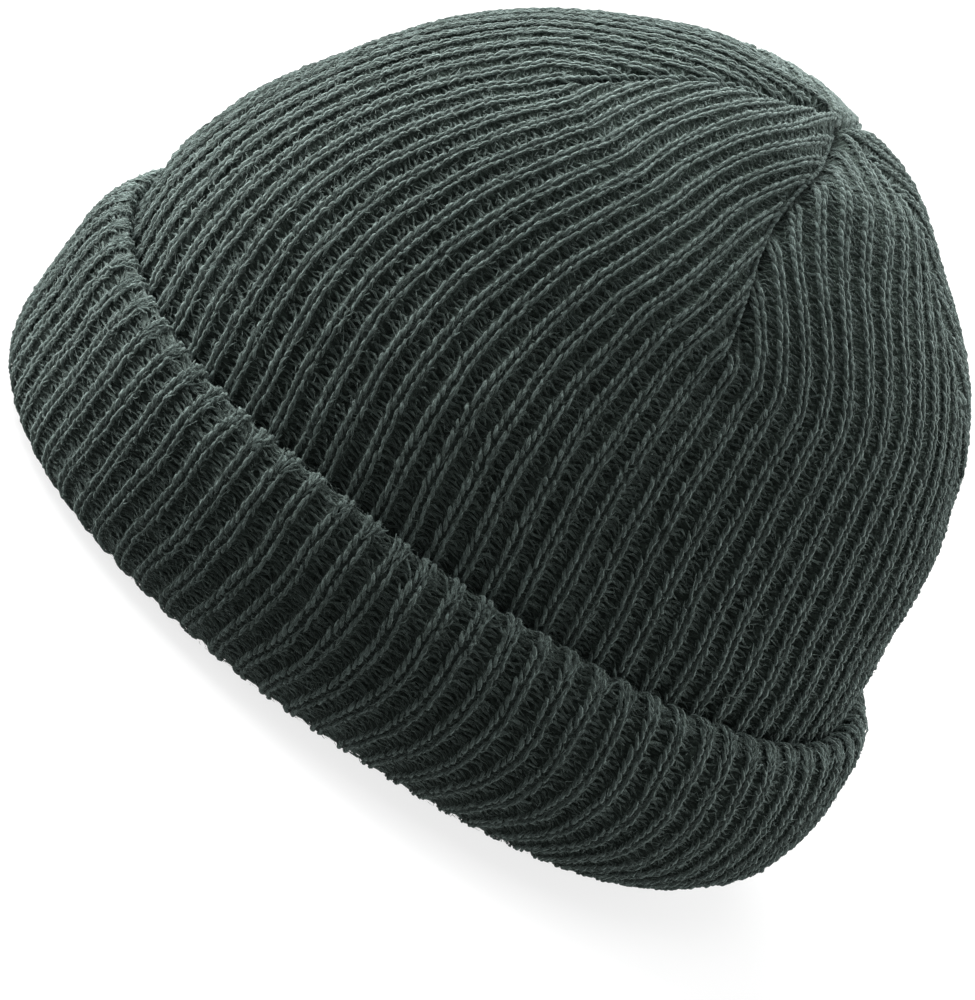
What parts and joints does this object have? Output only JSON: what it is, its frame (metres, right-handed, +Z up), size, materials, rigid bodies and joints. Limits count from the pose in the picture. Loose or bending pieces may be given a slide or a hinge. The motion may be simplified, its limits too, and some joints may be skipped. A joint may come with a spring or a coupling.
{
  "type": "knit hat with turned-up cuff",
  "caption": "Hollow ribbed knit hat: a rounded crown closed by darts at the top, and a deep turned-up cuff with a rolled edge that it rests on.",
  "frame": {"origin": "centre of the bounding box on the surface that the rim rests on", "axes": "+Z up from the rim to the tip, -Y toward the front of the hat, +X toward the wearer's left"},
  "size_m": [0.194, 0.2176, 0.163],
  "materials": {
    "crown_knit": "soft ribbed knit, matt and slightly fuzzy",
    "cuff_knit": "soft ribbed knit, matt and slightly fuzzy"
  },
  "bodies": {
    "root": {"crown": "crown_knit", "cuff": "cuff_knit"}
  },
  "joints": []
}
